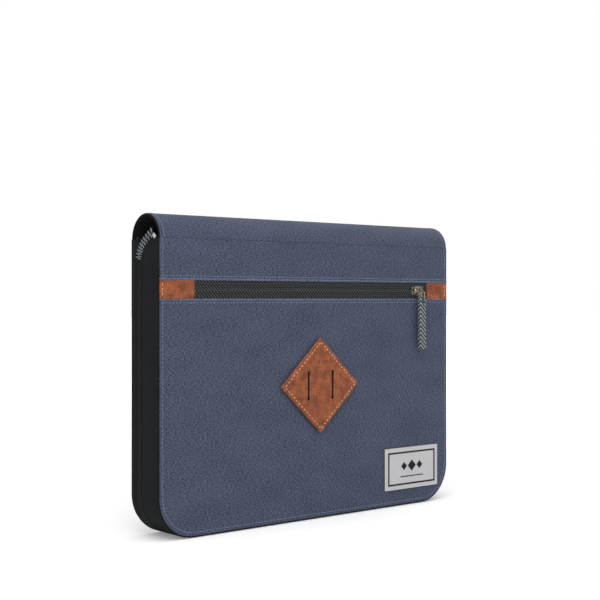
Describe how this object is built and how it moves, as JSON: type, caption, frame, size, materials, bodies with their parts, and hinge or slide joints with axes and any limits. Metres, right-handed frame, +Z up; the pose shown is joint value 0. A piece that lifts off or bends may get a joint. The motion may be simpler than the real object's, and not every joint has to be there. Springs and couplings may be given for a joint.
{
  "type": "tablet keyboard case",
  "caption": "Zip-round fabric folio for a tablet: front pocket, leather lash patch, soft spine, tilting tablet holder and thin keyboard inside.",
  "frame": {"origin": "middle of the bottom face at mid-width and mid-depth, where the closed case stands", "axes": "+X along the width towards the main zip slider, -Y towards the pocket side, +Z up to the spine"},
  "size_m": [0.2718, 0.0404, 0.211],
  "materials": {
    "navy_cloth": "two-tone woven cloth",
    "black_cloth": "fine black twill",
    "lining_cloth": "brushed lining",
    "stiffener_board": "plain board",
    "tan_leather": "pebbled, satin",
    "silver_plate": "satin",
    "dark_ink": "flat ink",
    "zip_coil": "nylon, semi-gloss",
    "gunmetal": "antique, polished on edges",
    "grey_webbing": "tightly woven",
    "black_plastic": "fine matte",
    "key_plastic": "smooth matte",
    "keyboard_metal": "bead blasted",
    "circuit_board": "lacquered",
    "battery_wrap": "foil wrap"
  },
  "bodies": {
    "spine": {"spine_strip_top": "navy_cloth"},
    "back_half": {"back_cover": "navy_cloth", "spine_strip_back": "navy_cloth", "back_board": "stiffener_board", "back_lining": "lining_cloth", "back_gusset": "black_cloth", "back_zip_tape": "black_cloth", "back_zip_coil": "zip_coil", "keyboard_base": "black_plastic", "keyboard_frame": "keyboard_metal", "keyboard_circuit_board": "circuit_board", "keyboard_battery": "battery_wrap", "charge_port": "keyboard_metal", "keyboard_pad_left": "black_cloth", "keyboard_pad_right": "black_cloth"},
    "front_half": {"front_cover_lower": "navy_cloth", "spine_strip_front": "navy_cloth", "front_cover_upper": "navy_cloth", "pocket_lining": "lining_cloth", "front_board": "stiffener_board", "front_lining": "lining_cloth", "front_gusset": "black_cloth", "front_zip_tape": "black_cloth", "front_zip_coil": "zip_coil", "pocket_tab_left": "tan_leather", "pocket_tab_right": "tan_leather", "pocket_tape_upper": "black_cloth", "pocket_tape_lower": "black_cloth", "pocket_coil_upper": "zip_coil", "pocket_coil_lower": "zip_coil", "lash_patch": "tan_leather", "lash_patch_backing": "black_cloth", "label_plate": "silver_plate", "label_frame": "dark_ink"},
    "pocket_slider": {"pocket_slider": "gunmetal"},
    "pocket_ring": {"pocket_pull_ring": "gunmetal"},
    "pocket_cord": {"pocket_pull_cord": "grey_webbing"},
    "main_slider": {"main_slider": "gunmetal"},
    "main_ring": {"main_pull_ring": "gunmetal"},
    "main_cord": {"main_pull_cord": "grey_webbing"},
    "tablet_panel": {"tablet_panel": "black_plastic", "tablet_grip_left": "black_plastic", "tablet_grip_right": "black_plastic", "clamp_elastic": "black_cloth"},
    "tablet_clamp": {"tablet_clamp": "black_plastic"},
    "kickstand": {"kickstand": "black_plastic"},
    "power_switch": {"power_switch": "black_plastic"},
    "key_row_modifiers_left": {"key_row_modifiers_left": "key_plastic"},
    "space_bar": {"space_bar": "key_plastic"},
    "key_row_modifiers_right": {"key_row_modifiers_right": "key_plastic"},
    "key_row_lower": {"key_row_lower": "key_plastic"},
    "key_row_home": {"key_row_home": "key_plastic"},
    "key_row_upper": {"key_row_upper": "key_plastic"},
    "key_row_number": {"key_row_number": "key_plastic"},
    "key_row_function": {"key_row_function": "key_plastic"}
  },
  "joints": [
    {"name": "front_fold", "type": "hinge", "parent": "spine", "child": "front_half", "pos_m": [0, -0.01296, 0.20746], "axis": [-1, 0, 0], "range_deg": [0, 90]},
    {"name": "back_fold", "type": "hinge", "parent": "spine", "child": "back_half", "pos_m": [0, 0.01296, 0.20746], "axis": [1, 0, 0], "range_deg": [0, 90]},
    {"name": "panel_tilt", "type": "hinge", "parent": "front_half", "child": "tablet_panel", "pos_m": [0, -0.0066, 0.1895], "axis": [1, 0, 0], "range_deg": [0, 60]},
    {"name": "kickstand_fold", "type": "hinge", "parent": "tablet_panel", "child": "kickstand", "pos_m": [0, -0.0066, 0.0995], "axis": [-1, 0, 0], "range_deg": [0, 120]},
    {"name": "clamp_slide", "type": "slide", "parent": "tablet_panel", "child": "tablet_clamp", "axis": [0, 0, -1], "range_m": [0, 0.009], "stiffness_N_per_m": 300, "springref_m": -0.001, "deforming": ["clamp_elastic"]},
    {"name": "pocket_slider_slide", "type": "slide", "parent": "front_half", "child": "pocket_slider", "axis": [-1, 0, 0], "range_m": [0, 0.199]},
    {"name": "pocket_ring_swing", "type": "hinge", "parent": "pocket_slider", "child": "pocket_ring", "pos_m": [0.101, -0.019, 0.1616], "axis": [-1, 0, 0], "range_deg": [0, 80]},
    {"name": "pocket_cord_swing", "type": "hinge", "parent": "pocket_ring", "child": "pocket_cord", "pos_m": [0.101, -0.0211, 0.1557], "axis": [0, 1, 0], "range_deg": [-35, 35]},
    {"name": "main_slider_slide", "type": "slide", "parent": "back_half", "child": "main_slider", "axis": [0, 0, -1], "range_m": [0, 0.132]},
    {"name": "main_ring_swing", "type": "hinge", "parent": "main_slider", "child": "main_ring", "pos_m": [0.1361, 0.0068, 0.1792], "axis": [0, -1, 0], "range_deg": [0, 90]},
    {"name": "main_cord_swing", "type": "hinge", "parent": "main_ring", "child": "main_cord", "pos_m": [0.1361, 0.0068, 0.1722], "axis": [0, -1, 0], "range_deg": [0, 60]},
    {"name": "power_switch_slide", "type": "slide", "parent": "back_half", "child": "power_switch", "axis": [1, 0, 0], "range_m": [0, 0.003]},
    {"name": "key_row_modifiers_left_press", "type": "slide", "parent": "back_half", "child": "key_row_modifiers_left", "axis": [0, 1, 0], "range_m": [0, 0.0012], "stiffness_N_per_m": 200},
    {"name": "space_bar_press", "type": "slide", "parent": "back_half", "child": "space_bar", "axis": [0, 1, 0], "range_m": [0, 0.0012], "stiffness_N_per_m": 200},
    {"name": "key_row_modifiers_right_press", "type": "slide", "parent": "back_half", "child": "key_row_modifiers_right", "axis": [0, 1, 0], "range_m": [0, 0.0012], "stiffness_N_per_m": 200},
    {"name": "key_row_lower_press", "type": "slide", "parent": "back_half", "child": "key_row_lower", "axis": [0, 1, 0], "range_m": [0, 0.0012], "stiffness_N_per_m": 200},
    {"name": "key_row_home_press", "type": "slide", "parent": "back_half", "child": "key_row_home", "axis": [0, 1, 0], "range_m": [0, 0.0012], "stiffness_N_per_m": 200},
    {"name": "key_row_upper_press", "type": "slide", "parent": "back_half", "child": "key_row_upper", "axis": [0, 1, 0], "range_m": [0, 0.0012], "stiffness_N_per_m": 200},
    {"name": "key_row_number_press", "type": "slide", "parent": "back_half", "child": "key_row_number", "axis": [0, 1, 0], "range_m": [0, 0.0012], "stiffness_N_per_m": 200},
    {"name": "key_row_function_press", "type": "slide", "parent": "back_half", "child": "key_row_function", "axis": [0, 1, 0], "range_m": [0, 0.0012], "stiffness_N_per_m": 200}
  ],
  "couplings": [
    {"joint": "front_fold", "follows": "back_fold", "ratio": 1},
    {"joint": "panel_tilt", "follows": "back_fold", "ratio": 0.66667},
    {"joint": "kickstand_fold", "follows": "back_fold", "ratio": 1.3333}
  ]
}
